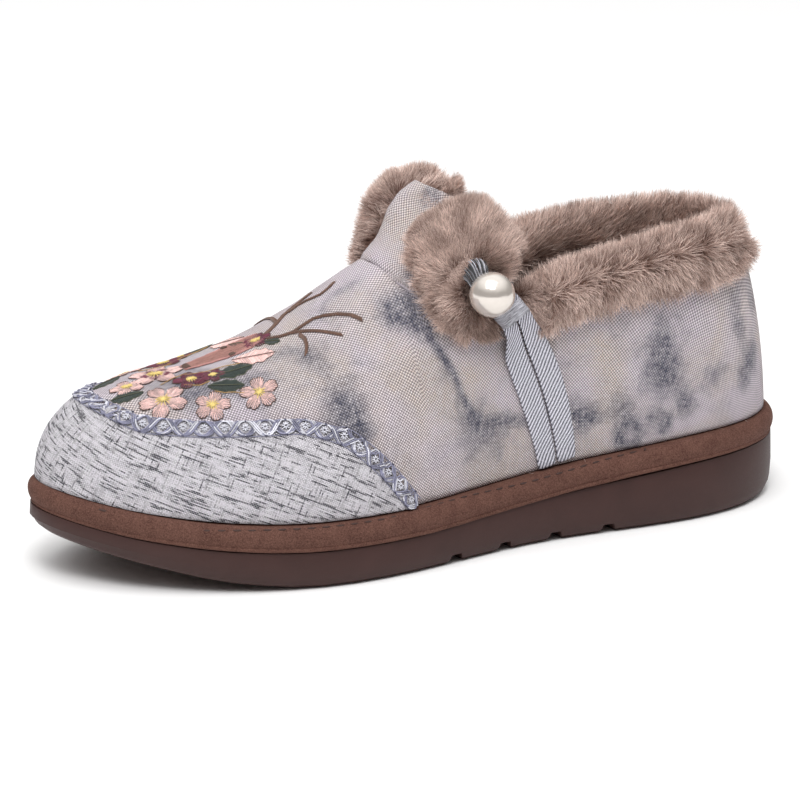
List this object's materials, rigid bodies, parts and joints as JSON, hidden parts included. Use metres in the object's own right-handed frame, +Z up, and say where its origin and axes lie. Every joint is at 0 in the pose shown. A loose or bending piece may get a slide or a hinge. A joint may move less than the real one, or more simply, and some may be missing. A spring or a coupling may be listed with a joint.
{
  "type": "embroidered fur-collar winter shoe",
  "caption": "Low left-foot winter shoe: hollow cloth upper, linen toe cap, fur collar and lapels, ribbon loop on a pearl button, suede-wrapped midsole and flat rubber sole with toe spring.",
  "frame": {"origin": "on the floor under the middle of the sole's length and width", "axes": "+X to the heel, -X to the toe, +Y to the inner (medial) side, -Y to the outer (lateral) side, +Z up"},
  "size_m": [0.262, 0.0963, 0.1187],
  "materials": {
    "rubber": "satin brown moulded rubber",
    "suede": "matt brown suede with a stitched channel",
    "felt": "matt felt",
    "dyed_cloth": "plain weave, cloud-dyed in grey and slate blue",
    "linen": "coarse slubbed linen",
    "fur": "dense soft pile",
    "ribbon": "ribbed satin ribbon",
    "pearl": "nacreous gloss"
  },
  "bodies": {
    "root": {"outsole": "rubber", "midsole": "suede", "insole": "felt", "upper": "dyed_cloth", "throat_tab": "dyed_cloth", "toe_cap": "linen", "fur_collar": "fur", "fur_lapel_lateral": "fur", "fur_lapel_medial": "fur", "ribbon_loop": "ribbon", "ribbon_keeper": "ribbon", "pearl_button": "pearl"}
  },
  "joints": []
}
